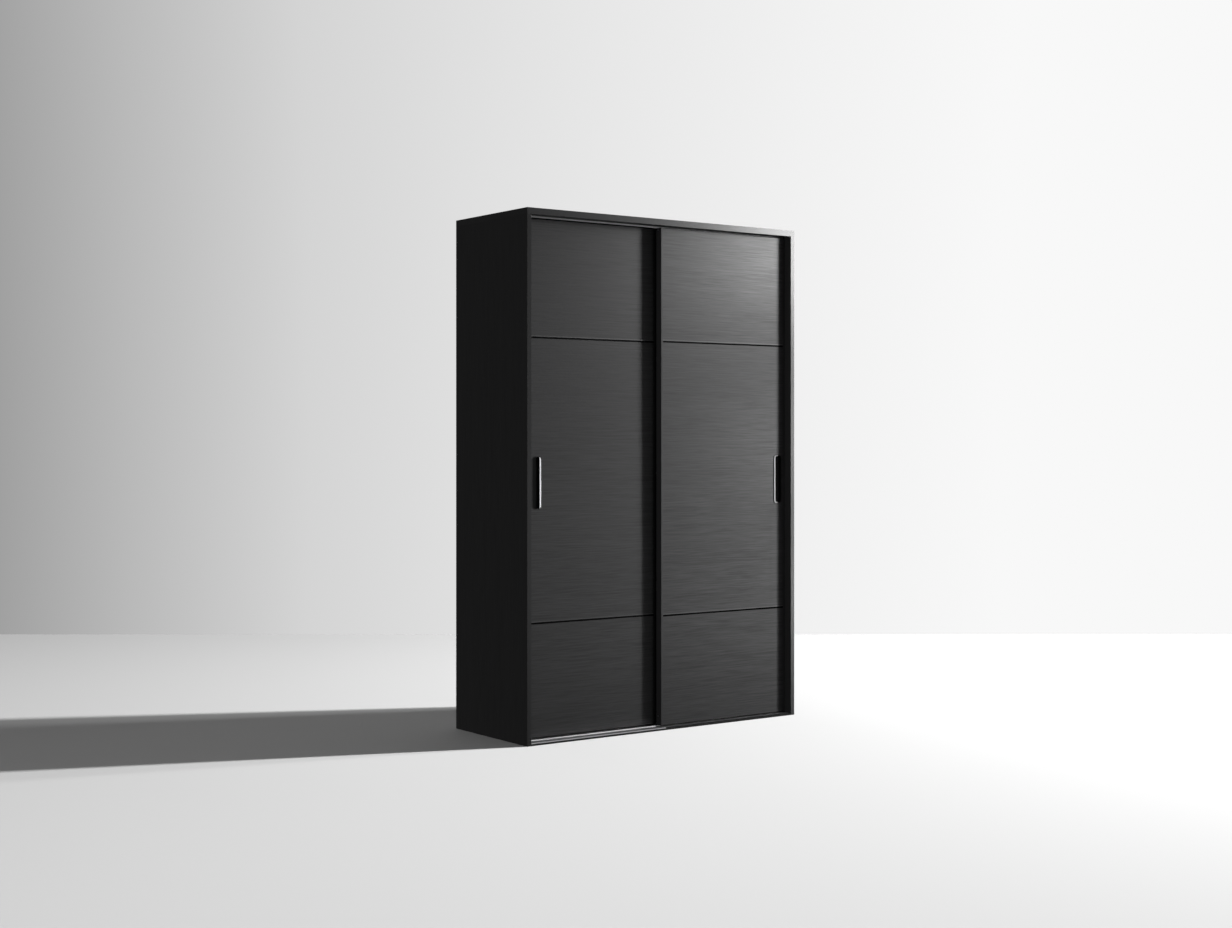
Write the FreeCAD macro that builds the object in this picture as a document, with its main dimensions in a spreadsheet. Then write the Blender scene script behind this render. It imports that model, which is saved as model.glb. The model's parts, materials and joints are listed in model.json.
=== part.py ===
import FreeCAD, Part

import math
import os
import re

import Sketcher

# Sliding-door wardrobe. Millimetres, +Z up, origin at the bottom centre of the
# outer box, doors facing -Y, +X to the viewer's right.

# ---------------------------------------------------------------- sizes
SIZES = {
    # overall
    "width": 1380,
    "depth": 540,
    "height": 2100,
    # boards
    "side_board": 19,
    "top_board": 25,
    "inner_board": 18,
    "back_board": 4,
    "rebate_depth": 6,
    "rebate_width": 9,
    "strip_flange": 0.8,
    "strip_width": 24,
    "plinth_height": 42,
    "interior_gap": 6,
    "shelf_setback": 12,
    "shelf_gap": 0.5,
    # door planes, measured back from the front edges of the sides
    "door_setback": 40,
    "door_pitch": 50,
    "door_gap": 2,
    "door_ground": 12,
    "door_top_gap": 4,
    # door frame
    "stile_face": 9,
    "stile_depth": 34,
    "stile_web": 2.5,
    "stile_lip": 1.5,
    "slot_play": 0.2,
    "edge_play": 1,
    "door_panel": 10,
    "rail_wall": 1.8,
    "rail_web": 6,
    "rail_inset": 0.7,
    "rail_foot": 1.5,
    "bottom_rail_height": 40,
    "top_rail_height": 30,
    "bead_top": 8.5,
    "bead_bottom": 3.5,
    "divider_drop": 3.5,
    "divider_edge": 0.4,
    "divider_back": 16,
    "divider_web": 1.5,
    "upper_divider_height": 1600,
    "lower_divider_height": 466,
    # tracks
    "sill_height": 6.5,
    "track_base": 1.5,
    "track_margin": 8,
    "rib_width": 3,
    "rib_height": 3,
    "lip_wall": 1.5,
    "lip_height": 6,
    "lip_inset": 2,
    "guide_gap": 3,
    # rollers
    "wheel_running_radius": 11,
    "wheel_flange": 2,
    "groove_play": 0.6,
    "rib_clearance": 0.3,
    "axle_radius": 3,
    "running_play": 0.05,
    "cut_past": 1,
    "roller_inset": 70,
    "bracket_length": 50,
    "bracket_wall": 1.5,
    "bracket_play": 0.2,
    "bracket_ground": 13.5,
    "hub_play": 0.3,
    "tread_inset": 1.5,
    "hub_wall": 4,
    # guide shoes
    "shoe_length": 30,
    "shoe_base": 2,
    "shoe_play": 1,
    # flush pulls
    "handle_length": 208,
    "handle_width": 42,
    "handle_radius": 14,
    "handle_centre": 1023,
    "handle_depth": 15,
    "handle_wall": 1.5,
    "handle_rim": 2,
    "rim_thickness": 0.6,
    "cup_play": 0.15,
    "grip_width": 8,
    "grip_hook": 5,
    "grip_reach": 20,
    "grip_proud": 3,
    "left_handle_inset": 60,
    "right_handle_inset": 18.5,
    # interior
    "hat_shelf_height": 1760,
    "lower_shelf_height": 560,
    "middle_shelf_height": 1050,
    "upper_shelf_height": 1560,
    "hanging_drop": 70,
    "hanging_rail_radius": 12.5,
    "hanging_rail_wall": 1.5,
    "socket_radius": 19,
    "socket_length": 8,
    "socket_floor": 2,
    "pin_radius": 2.5,
    "pin_head_radius": 3.5,
    "pin_length": 8,
    "pin_reach": 8,
    "pin_inset": 40,
    # fittings
    "cam_radius": 7.5,
    "cam_depth": 12.5,
    "cam_edge": 24,
    "cam_inset": 60,
    "dowel_radius": 4,
    "dowel_length": 24,
    "dowel_inset": 110,
    "screw_radius": 2,
    "screw_head_radius": 3.6,
    "screw_head": 1.2,
    "screw_length": 12,
    "screw_inset": 60,
    "frame_screw_radius": 1.8,
    "frame_screw_length": 24,
    "screw_run_out": 1,
    "back_screw_radius": 1.5,
    "bumper_thickness": 1.5,
    "bumper_width": 12,
    "bumper_height": 40,
    "bumper_first_height": 300,
    "bumper_second_height": 1800,
    "wall_bracket_leg": 30,
    "wall_bracket_width": 24,
    "wall_bracket_sheet": 2,
    "wall_bracket_inset": 200,
    "wall_hole_radius": 3,
    "wall_hole_drop": 18,
}

# Places worked out from the sizes above.
PLACES = {
    "left": "0 - width / 2",
    "right": "width / 2",
    "front": "0 - depth / 2",
    "back": "depth / 2",
    "inner_left": "left + side_board",
    "inner_right": "right - side_board",
    "inner_width": "width - 2 * side_board",
    "ceiling": "height - top_board",
    "back_face": "back - rebate_depth",
    "zone_depth": "door_setback + door_pitch + stile_depth + interior_gap",
    "interior_front": "front + zone_depth",
    "floor_top": "plinth_height + inner_board",
    "partition_left": "0 - inner_board / 2",
    "partition_right": "inner_board / 2",
    "shelf_front": "interior_front + shelf_setback",
    "shelf_depth": "back_face - strip_flange - shelf_gap - shelf_front",
    "bay_width": "inner_width / 2 - inner_board / 2",
    # doors: each overlaps the other by one stile
    "door_width": "inner_width / 2 - door_gap + stile_face / 2",
    "door_height": "ceiling - door_top_gap - door_ground",
    "slot_width": "door_panel + slot_play",
    "rail_front": "stile_lip + slot_width",
    "channel_width": "stile_depth - rail_inset - 2 * rail_wall - rail_front",
    "guide_offset": "rail_front + rail_wall + channel_width / 2",
    "insert_length": "door_width - 2 * stile_face",
    "lip_spacing": "channel_width - 2 * lip_inset",
    "lip_bottom": "ceiling - lip_height",
    "guide_top": "lip_bottom - guide_gap",
    "guide_step": "guide_top - door_ground",
    "panel_inset": "stile_web + edge_play",
    "panel_width": "door_width - 2 * panel_inset",
    "panel_bottom": "door_ground + rail_foot",
    "panel_top": "ceiling - door_top_gap - rail_foot",
    # tracks
    "track_top": "sill_height + track_base",
    "rib_top": "track_top + rib_height",
    "axle_height": "rib_top + rib_clearance + wheel_running_radius",
    "bracket_width": "channel_width - 2 * bracket_play",
    "hub_width": "bracket_width - 2 * bracket_wall - 2 * hub_play",
    "bracket_top": "door_ground + bottom_rail_height - rail_web",
    "wheel_radius": "wheel_running_radius + wheel_flange",
    "front_guide": "front + door_setback + guide_offset",
    "rear_guide": "front_guide + door_pitch",
    "track_middle": "(front_guide + rear_guide) / 2",
    "track_front": "front + track_margin",
    "track_back": "rear_guide + track_margin + lip_spacing / 2",
    "top_track_front": "front_guide - lip_spacing / 2 - lip_wall",
    "top_track_depth": "door_pitch + lip_spacing + 2 * lip_wall",
    # hanging rail
    "hanging_height": "hat_shelf_height - inner_board - hanging_drop",
    "hanging_place": "(interior_front + back_face) / 2",
}

DIVIDERS = {"lower": "lower_divider_height", "upper": "upper_divider_height"}
DOORS = {
    "left": {"x": "inner_left + door_gap", "y": "front + door_setback + door_pitch"},
    "right": {"x": "inner_right - door_gap - door_width", "y": "front + door_setback"},
}

doc = FreeCAD.newDocument("wardrobe")
sheet = doc.addObject("Spreadsheet::Sheet", "Sizes")
for row, (alias, value) in enumerate(SIZES.items(), start=1):
    sheet.set(f"A{row}", alias)
    sheet.set(f"B{row}", str(value))
    sheet.setAlias(f"B{row}", alias)
doc.recompute()


# ---------------------------------------------------------------- binding
def formula(text):
    """Write out the places in a formula and point each size at its cell."""

    def spell(match):
        word = match[0]
        if word in PLACES:
            return "(" + formula(PLACES[word]) + ")"
        return "Sizes." + word

    return re.sub(r"[a-z][a-z_]*[a-z]", spell, str(text))


def worth(text):
    """The present value of a formula, in millimetres."""
    return float(sheet.evalExpression(formula(text)))


def bind(thing, **properties):
    """Bind properties to formulas; Base_x stands for Placement.Base.x."""
    for name, text in properties.items():
        path = name.replace("Base_", "Placement.Base.")
        thing.setExpression(path, formula(text))
    return thing


def place(thing, x, y, z):
    return bind(thing, Base_x=x, Base_y=y, Base_z=z)


def named(thing, label):
    thing.Label = label
    parts.append(thing)
    return thing


parts = []


# ---------------------------------------------------------------- sketches
def plane(body, role):
    return [item for item in body.Origin.OriginFeatures if item.Role == role][0]


def sketch_on(body, role, offset="0"):
    sketch = body.newObject("Sketcher::SketchObject", "Sketch")
    sketch.AttachmentSupport = [(plane(body, role), "")]
    sketch.MapMode = "FlatFace"
    if offset != "0":
        sketch.setExpression("AttachmentOffset.Base.z", formula(offset))
    return sketch


def fix(sketch, element, point, x, y):
    """Hold a point of the sketch at a pair of formulas."""
    for kind, text in (("DistanceX", x), ("DistanceY", y)):
        number = sketch.addConstraint(
            Sketcher.Constraint(kind, -1, 1, element, point, worth(text))
        )
        sketch.setExpression(f"Constraints[{number}]", formula(text))


def polygon(sketch, corners):
    """A closed outline through corners given as pairs of formulas."""
    spots = [FreeCAD.Vector(worth(x), worth(y), 0) for x, y in corners]
    first = sketch.GeometryCount
    count = len(corners)
    for number in range(count):
        sketch.addGeometry(Part.LineSegment(spots[number], spots[(number + 1) % count]))
    for number in range(count):
        after = (number + 1) % count
        sketch.addConstraint(
            Sketcher.Constraint("Coincident", first + number, 2, first + after, 1)
        )
    for number, (x, y) in enumerate(corners):
        fix(sketch, first + number, 1, x, y)
    return sketch


def rectangle(sketch, x, y, wide, high):
    far_x, far_y = f"{x} + {wide}", f"{y} + {high}"
    return polygon(sketch, [(x, y), (far_x, y), (far_x, far_y), (x, far_y)])


def circle(sketch, x, y, radius):
    centre = FreeCAD.Vector(worth(x), worth(y), 0)
    number = sketch.addGeometry(
        Part.Circle(centre, FreeCAD.Vector(0, 0, 1), worth(radius))
    )
    fix(sketch, number, 3, x, y)
    rule = sketch.addConstraint(Sketcher.Constraint("Radius", number, worth(radius)))
    sketch.setExpression(f"Constraints[{rule}]", formula(radius))
    return sketch


# ---------------------------------------------------------------- features
def new_body(label, x, y, z):
    return place(named(doc.addObject("PartDesign::Body", label), label), x, y, z)


def pad(body, sketch, length):
    feature = body.newObject("PartDesign::Pad", "Pad")
    feature.Profile = sketch
    bind(feature, Length=length)
    return feature


def pocket(body, sketch, depth, inward=False):
    """Cut against the sketch plane's normal, or along it when inward is set."""
    doc.recompute()
    before = body.Shape.Volume
    feature = body.newObject("PartDesign::Pocket", "Pocket")
    feature.Profile = sketch
    feature.Reversed = inward
    bind(feature, Length=depth)
    doc.recompute()
    if not body.Shape.Volume < before - 1:
        raise RuntimeError(f"a pocket in {body.Label} cuts nothing")
    return feature


# face of a board: (origin plane, plane offset, pocket runs along the normal)
def face_of(face, size):
    wide, deep, high = size
    return {
        "left": ("YZ_Plane", "0", True),
        "right": ("YZ_Plane", wide, False),
        "front": ("XZ_Plane", "0", False),
        "back": ("XZ_Plane", f"0 - ({deep})", True),
        "bottom": ("XY_Plane", "0", True),
        "top": ("XY_Plane", high, False),
    }[face]


def board(label, x, y, z, size):
    """A flat board: its low corner at x, y, z and its size as three formulas."""
    body = new_body(label, x, y, z)
    wide, deep, high = size
    pad(body, rectangle(sketch_on(body, "XY_Plane"), "0", "0", wide, deep), high)
    return body


def drill(body, size, face, centres, radius, depth):
    """Round holes in one face of a board, in that face's own coordinates."""
    role, offset, inward = face_of(face, size)
    sketch = sketch_on(body, role, offset)
    for x, y in centres:
        circle(sketch, x, y, radius)
    return pocket(body, sketch, depth, inward)


def mill(body, size, face, x, y, wide, high, depth):
    """A straight-sided pocket in one face of a board."""
    role, offset, inward = face_of(face, size)
    sketch = rectangle(sketch_on(body, role, offset), x, y, wide, high)
    return pocket(body, sketch, depth, inward)


def profile(label, role, x, y, z, corners, length):
    """A straight bar with the given section, drawn on one of its origin planes."""
    body = new_body(label, x, y, z)
    pad(body, polygon(sketch_on(body, role), corners), length)
    return body


TURNS = {
    "+X": FreeCAD.Rotation(FreeCAD.Vector(0, 1, 0), 90),
    "-X": FreeCAD.Rotation(FreeCAD.Vector(0, 1, 0), -90),
    "+Y": FreeCAD.Rotation(FreeCAD.Vector(1, 0, 0), -90),
    "-Y": FreeCAD.Rotation(FreeCAD.Vector(1, 0, 0), 90),
    "+Z": FreeCAD.Rotation(),
    "-Z": FreeCAD.Rotation(FreeCAD.Vector(1, 0, 0), 180),
}


def rod(label, axis, x, y, z, radius, length):
    """A plain cylinder that starts at x, y, z and runs along an axis."""
    piece = doc.addObject("Part::Cylinder", label)
    piece.Placement.Rotation = TURNS[axis]
    bind(piece, Radius=radius, Height=length)
    return place(piece, x, y, z)


def brick(label, x, y, z, size):
    piece = doc.addObject("Part::Box", label)
    bind(piece, Length=size[0], Width=size[1], Height=size[2])
    return place(piece, x, y, z)


def group(label, pieces):
    """Several separate solids of one kind, kept as one sub-part."""
    bundle = doc.addObject("Part::Compound", label)
    bundle.Links = pieces
    return named(bundle, label)


def screw(label, axis, x, y, z, radius, length):
    """A screw whose head seats at x, y, z, with its shank along the axis."""
    head_axis = ("-" if axis[0] == "+" else "+") + axis[1]
    shank = rod(label + "_shank", axis, x, y, z, radius, length)
    head = rod(label + "_head", head_axis, x, y, z, "screw_head_radius", "screw_head")
    joined = doc.addObject("Part::Fuse", label)
    joined.Base, joined.Tool = shank, head
    return joined


def spread(count, start, end):
    """Evenly spaced formulas from start to end, ends included."""
    steps = count - 1
    return [f"{start} + (({end}) - ({start})) * {step} / {steps}" for step in range(count)]


# ---------------------------------------------------------------- carcass boards
PIN_HEIGHTS = ["lower_shelf_height", "middle_shelf_height", "upper_shelf_height"]
PIN_DEPTHS = ["shelf_front + pin_inset", "back_face - pin_inset"]
CAM_DEPTHS = ["interior_front + cam_inset", "back_face - cam_inset"]
DOWEL_DEPTHS = ["interior_front + dowel_inset", "back_face - dowel_inset"]
pin_drop = "inner_board + pin_head_radius"

# Both sides stand on the floor. The top laps over the left side and stops
# against the right side, which runs the full height.
left_size = ("side_board", "depth", "ceiling")
right_size = ("side_board", "depth", "height")
left_side = board("left_side_panel", "left", "front", "0", left_size)
right_side = board("right_side_panel", "inner_right", "front", "0", right_size)
top_size = ("width - side_board", "depth", "top_board")
top = board("top_panel", "left", "front", "ceiling", top_size)
floor_size = ("inner_width", "back_face - interior_front", "inner_board")
floor = board("bottom_panel", "inner_left", "interior_front", "plinth_height", floor_size)
partition_size = (
    "inner_board", "back_face - strip_flange - interior_front", "ceiling - floor_top"
)
partition = board(
    "centre_partition", "partition_left", "interior_front", "floor_top", partition_size
)

# rebates that take the back panels
rebate_start = "depth - rebate_depth"
mill(left_side, left_size, "right", rebate_start, "plinth_height", "rebate_depth",
     "ceiling - plinth_height", "rebate_width")
mill(right_side, right_size, "left", rebate_start, "plinth_height", "rebate_depth",
     "ceiling + rebate_width - plinth_height", "rebate_width")
mill(top, top_size, "bottom", "side_board - rebate_width", rebate_start,
     "inner_width + rebate_width", "rebate_depth", "rebate_width")

# shelf pin holes, at the same heights as the pins
def pin_holes(heights, base):
    return [
        (f"{depth} - front", f"{height} - ({pin_drop}) - ({base})")
        for depth in PIN_DEPTHS
        for height in heights
    ]


hole_radius = "pin_radius + running_play"
drill(left_side, left_size, "right", pin_holes(["hat_shelf_height"], "0"),
      hole_radius, "pin_length")
drill(right_side, right_size, "left", pin_holes(PIN_HEIGHTS, "0"),
      hole_radius, "pin_length")
partition_holes = [
    (f"{x} - zone_depth", y) for x, y in pin_holes(PIN_HEIGHTS, "floor_top")
]
drill(partition, partition_size, "right", partition_holes, hole_radius, "pin_length")
hat_holes = [
    (f"{x} - zone_depth", y) for x, y in pin_holes(["hat_shelf_height"], "floor_top")
]
drill(partition, partition_size, "left", hat_holes, hole_radius, "pin_length")

# plinth rails under the bottom panel, and the sill the lower track lies on
rail_size = ("inner_width", "inner_board", "plinth_height")
board("plinth_front_rail", "inner_left", "interior_front", "0", rail_size)
board("plinth_rear_rail", "inner_left", "back_face - inner_board", "0", rail_size)
sill_size = ("inner_width", "zone_depth", "sill_height")
sill = board("front_sill", "inner_left", "front", "0", sill_size)

# back panels and the strip that joins them
back_height = "ceiling + rebate_width - plinth_height"
back_width = "inner_width / 2 + rebate_width - strip_flange / 2"
back_size = (back_width, "back_board", back_height)
back_left_x = "inner_left - rebate_width"
back_right_x = "strip_flange / 2"
back_left = board("back_panel_left", back_left_x, "back_face", "plinth_height", back_size)
back_right = board("back_panel_right", back_right_x, "back_face", "plinth_height", back_size)
half_strip, half_web = "strip_width / 2", "strip_flange / 2"
near, far = "strip_flange", "strip_flange + back_board"
strip_section = [
    (f"0 - {half_strip}", "0"), (half_strip, "0"), (half_strip, near), (half_web, near),
    (half_web, far), (half_strip, far), (half_strip, f"{far} + strip_flange"),
    (f"0 - {half_strip}", f"{far} + strip_flange"), (f"0 - {half_strip}", far),
    (f"0 - {half_web}", far), (f"0 - {half_web}", near), (f"0 - {half_strip}", near),
]
profile("back_joining_strip", "XY_Plane", "0", "back_face - strip_flange", "floor_top",
        strip_section, "ceiling - floor_top")

# ---------------------------------------------------------------- shelves
shelf_size = ("bay_width - 2 * shelf_gap", "shelf_depth", "inner_board")
shelf_rows = {
    "hat_shelf": ("inner_left + shelf_gap", "hat_shelf_height"),
    "lower_shelf": ("partition_right + shelf_gap", "lower_shelf_height"),
    "middle_shelf": ("partition_right + shelf_gap", "middle_shelf_height"),
    "upper_shelf": ("partition_right + shelf_gap", "upper_shelf_height"),
}
for label, (shelf_x, height) in shelf_rows.items():
    shelf = brick(label, shelf_x, "shelf_front", f"{height} - inner_board", shelf_size)
    named(shelf, label)

pins = []


def shelf_pin(wall, into, out, depth, height):
    """A pin in a blind hole, with a thicker end that carries the shelf."""
    level = f"{height} - ({pin_drop})"
    stem = rod("pin_stem", into, wall, depth, level, "pin_radius", "pin_length")
    end = rod("pin_end", out, wall, depth, level, "pin_head_radius", "pin_reach")
    joined = doc.addObject("Part::Fuse", "shelf_pin")
    joined.Base, joined.Tool = stem, end
    pins.append(joined)


for depth in PIN_DEPTHS:
    shelf_pin("inner_left", "-X", "+X", depth, "hat_shelf_height")
    shelf_pin("partition_left", "+X", "-X", depth, "hat_shelf_height")
    for height in PIN_HEIGHTS:
        shelf_pin("partition_right", "-X", "+X", depth, height)
        shelf_pin("inner_right", "+X", "-X", depth, height)
group("shelf_pins", pins)

# ---------------------------------------------------------------- hanging rail
rail_start = "inner_left + socket_floor"
rail_run = "bay_width - 2 * socket_floor"
outer = rod("rail_outside", "+X", rail_start, "hanging_place", "hanging_height",
            "hanging_rail_radius", rail_run)
inner = rod("rail_inside", "+X", f"{rail_start} - cut_past", "hanging_place",
            "hanging_height", "hanging_rail_radius - hanging_rail_wall",
            f"{rail_run} + 2 * cut_past")
tube = doc.addObject("Part::Cut", "hanging_rail")
tube.Base, tube.Tool = outer, inner
named(tube, "hanging_rail")

sockets = []
for wall, axis, way in (("inner_left", "+X", "+"), ("partition_left", "-X", "-")):
    flange = rod("socket_body", axis, wall, "hanging_place", "hanging_height",
                 "socket_radius", "socket_length")
    seat = rod("socket_seat", axis, f"{wall} {way} socket_floor", "hanging_place",
               "hanging_height", "hanging_rail_radius + running_play", "socket_length")
    cup = doc.addObject("Part::Cut", "socket")
    cup.Base, cup.Tool = flange, seat
    sockets.append(cup)
group("hanging_rail_sockets", sockets)

# ---------------------------------------------------------------- tracks
track_length = "inner_width"
rib_front = "front_guide - track_front - rib_width / 2"
rib_rear = f"{rib_front} + door_pitch"
track_depth = "track_back - track_front"
rise = "track_base + rib_height"
edge_lip = "track_base"
bottom_section = [
    ("0", "0"), (track_depth, "0"), (track_depth, rise),
    (f"{track_depth} - {edge_lip}", rise), (f"{track_depth} - {edge_lip}", "track_base"),
]
for rib in (rib_rear, rib_front):
    bottom_section += [
        (f"{rib} + rib_width", "track_base"), (f"{rib} + rib_width", rise),
        (rib, rise), (rib, "track_base"),
    ]
bottom_section += [(edge_lip, "track_base"), (edge_lip, "2 * track_base"), ("0", "2 * track_base")]
bottom_track = profile("bottom_track", "YZ_Plane", "inner_left", "track_front", "sill_height",
                       bottom_section, track_length)

# the section is drawn upwards from the lips' lower edge; both end lips are its corners
lips = ["0", "lip_spacing + lip_wall", "door_pitch", "door_pitch + lip_spacing + lip_wall"]
ledge = "lip_height - track_base"
top_section = [("0", "lip_height")]
for lip in lips:
    behind = f"{lip} + lip_wall"
    if lip != lips[0]:
        top_section += [(lip, ledge)]
    top_section += [(lip, "0"), (behind, "0")]
    if lip != lips[-1]:
        top_section += [(behind, ledge)]
top_section += [("top_track_depth", "lip_height")]
top_track = profile("top_track", "YZ_Plane", "inner_left", "top_track_front", "lip_bottom",
                    top_section, track_length)

SCREW_SPOTS = spread(5, "screw_inset", "inner_width - screw_inset")
shank_hole = "screw_radius + running_play"
middle = "track_middle"
drill(bottom_track, ("inner_width", track_depth, "track_base"), "top",
      [(spot, f"{middle} - track_front") for spot in SCREW_SPOTS], shank_hole, "track_base")
drill(sill, sill_size, "top",
      [(spot, f"{middle} - front") for spot in SCREW_SPOTS], shank_hole, "sill_height")
drill(top_track, ("inner_width", "top_track_depth", "lip_height"), "top",
      [(spot, f"{middle} - top_track_front") for spot in SCREW_SPOTS], shank_hole, "lip_height")
drill(top, top_size, "bottom",
      [(f"{spot} + side_board", f"{middle} - front") for spot in SCREW_SPOTS],
      shank_hole, "screw_length")
board_screws = []
for spot in SCREW_SPOTS:
    spot_x = f"inner_left + {spot}"
    board_screws.append(screw("sill_screw", "-Z", spot_x, middle, "track_top",
                              "screw_radius", "track_top - track_base"))
    board_screws.append(screw("head_screw", "+Z", spot_x, middle, "ceiling - track_base",
                              "screw_radius", "screw_length"))

# ---------------------------------------------------------------- joints of the boards
# cam discs lie in the underside of the bottom panel and of the top panel
cams = []
cam_hole = "cam_radius + cup_play"


def cams_in(body, size, origin_x, origin_y, ends, level):
    centres = [(f"{end} - ({origin_x})", f"{depth} - {origin_y}")
               for end in ends for depth in CAM_DEPTHS]
    drill(body, size, "bottom", centres, cam_hole, "cam_depth")
    for end in ends:
        for depth in CAM_DEPTHS:
            cams.append(rod("cam", "+Z", end, depth, level, "cam_radius", "cam_depth"))


board_ends = ["inner_left + cam_edge", "inner_right - cam_edge"]
cams_in(floor, floor_size, "inner_left", "interior_front", board_ends, "plinth_height")
cams_in(top, top_size, "left", "front", board_ends, "ceiling")
group("cam_fittings", cams)

# dowels across the joints of the bottom panel with both sides
dowels = []
half_dowel = "dowel_length / 2"
dowel_hole = "dowel_radius + running_play"
dowel_level = "plinth_height + inner_board / 2"
side_spots = [(f"{depth} - front", dowel_level) for depth in DOWEL_DEPTHS]
floor_spots = [(f"{depth} - interior_front", "inner_board / 2") for depth in DOWEL_DEPTHS]
for side, size, face, floor_face in (
    (left_side, left_size, "right", "left"), (right_side, right_size, "left", "right")
):
    drill(side, size, face, side_spots, dowel_hole, half_dowel)
    drill(floor, floor_size, floor_face, floor_spots, dowel_hole, half_dowel)
for wall in ("inner_left", "inner_right"):
    for depth in DOWEL_DEPTHS:
        dowels.append(rod("dowel", "+X", f"{wall} - {half_dowel}", depth, dowel_level,
                          "dowel_radius", "dowel_length"))
group("board_dowels", dowels)

# back panel screws into the edge of the bottom panel
back_screws = []
back_spots = spread(4, "rebate_width + screw_inset", f"{back_width} - screw_inset")
low_row = "inner_board / 2"
back_shank = "back_screw_radius"
back_hole = "back_screw_radius + running_play"
for panel, start in ((back_left, back_left_x), (back_right, back_right_x)):
    drill(panel, back_size, "back", [(spot, low_row) for spot in back_spots],
          back_hole, "back_board")
    floor_row = [(f"{start} + {spot} - inner_left", low_row) for spot in back_spots]
    drill(floor, floor_size, "back", floor_row, back_hole, "screw_length")
    for spot in back_spots:
        back_screws.append(screw(
            "back_screw", "-Y", f"{start} + {spot}", "back_face + back_board",
            f"plinth_height + {low_row}", back_shank, "screw_length"))
group("back_panel_screws", back_screws)

# angle brackets under the top that tie the wardrobe to a wall
leg, sheet_metal = "wall_bracket_leg", "wall_bracket_sheet"
bracket_spots = ["0 - wall_bracket_inset", "wall_bracket_inset"]
wall_level = "ceiling - wall_hole_drop"
brackets = []
for centre in bracket_spots:
    upright = brick("bracket_upright", f"{centre} - wall_bracket_width / 2",
                    f"back_face - {sheet_metal}", f"ceiling - {leg}",
                    ("wall_bracket_width", sheet_metal, leg))
    flat = brick("bracket_flat", f"{centre} - wall_bracket_width / 2", f"back_face - {leg}",
                 f"ceiling - {sheet_metal}", ("wall_bracket_width", leg, sheet_metal))
    angle = doc.addObject("Part::Fuse", "angle")
    angle.Base, angle.Tool = upright, flat
    through = f"{sheet_metal} + 2 * cut_past"
    wall_hole = rod("wall_hole", "+Y", centre, f"back_face - {sheet_metal} - cut_past",
                    wall_level, "wall_hole_radius", through)
    top_hole = rod("top_hole", "+Z", centre, f"back_face - {leg} / 2",
                   f"ceiling - {sheet_metal} - cut_past", shank_hole, through)
    holes = doc.addObject("Part::Fuse", "holes")
    holes.Base, holes.Tool = wall_hole, top_hole
    bracket = doc.addObject("Part::Cut", "bracket")
    bracket.Base, bracket.Tool = angle, holes
    brackets.append(bracket)
    board_screws.append(screw("bracket_screw", "+Z", centre, f"back_face - {leg} / 2",
                              f"ceiling - {sheet_metal}", "screw_radius", "screw_length"))
group("wall_brackets", brackets)
group("board_screws", board_screws)
drill(top, top_size, "bottom",
      [(f"{centre} - left", f"back_face - {leg} / 2 - front") for centre in bracket_spots],
      shank_hole, "screw_length")
for panel, start, centre in (
    (back_left, back_left_x, bracket_spots[0]), (back_right, back_right_x, bracket_spots[1])
):
    drill(panel, back_size, "back", [(f"{centre} - ({start})", f"{wall_level} - plinth_height")],
          "wall_hole_radius", "back_board")

# soft stops on both sides, in both door planes
bumpers = []
for plane_y in ("front_guide", "rear_guide"):
    for wall in ("inner_left", "inner_right - bumper_thickness"):
        for height in ("bumper_first_height", "bumper_second_height"):
            bumpers.append(brick("bumper", wall, f"{plane_y} - bumper_width / 2", height,
                                 ("bumper_thickness", "bumper_width", "bumper_height")))
group("door_bumpers", bumpers)


# ---------------------------------------------------------------- doors
QUARTER_TURN = math.pi / 2


def rounded_slot(sketch, x, z, wide, high, radius):
    """A rectangle with four round corners, given by its low corner and size."""
    far_x, far_z = f"{x} + {wide}", f"{z} + {high}"
    low_z, high_z = f"{z} + {radius}", f"{far_z} - ({radius})"
    low_x, high_x = f"{x} + {radius}", f"{far_x} - ({radius})"
    runs = [
        ((low_x, z), (high_x, z)), ((far_x, low_z), (far_x, high_z)),
        ((high_x, far_z), (low_x, far_z)), ((x, high_z), (x, low_z)),
    ]
    centres = [(high_x, low_z), (high_x, high_z), (low_x, high_z), (low_x, low_z)]
    first = sketch.GeometryCount
    for start, end in runs:
        spots = [FreeCAD.Vector(worth(a), worth(b), 0) for a, b in (start, end)]
        number = sketch.addGeometry(Part.LineSegment(*spots))
        fix(sketch, number, 1, *start)
        fix(sketch, number, 2, *end)
    for number, (centre_x, centre_z) in enumerate(centres):
        middle_point = FreeCAD.Vector(worth(centre_x), worth(centre_z), 0)
        ring = Part.Circle(middle_point, FreeCAD.Vector(0, 0, 1), worth(radius))
        begin = (number - 1) * QUARTER_TURN
        arc = sketch.addGeometry(Part.ArcOfCircle(ring, begin, begin + QUARTER_TURN))
        after = first + (number + 1) % 4
        sketch.addConstraint(Sketcher.Constraint("Coincident", arc, 1, first + number, 2))
        sketch.addConstraint(Sketcher.Constraint("Coincident", arc, 2, after, 1))
        rule = sketch.addConstraint(Sketcher.Constraint("Radius", arc, worth(radius)))
        sketch.setExpression(f"Constraints[{rule}]", formula(radius))
    return sketch


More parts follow.
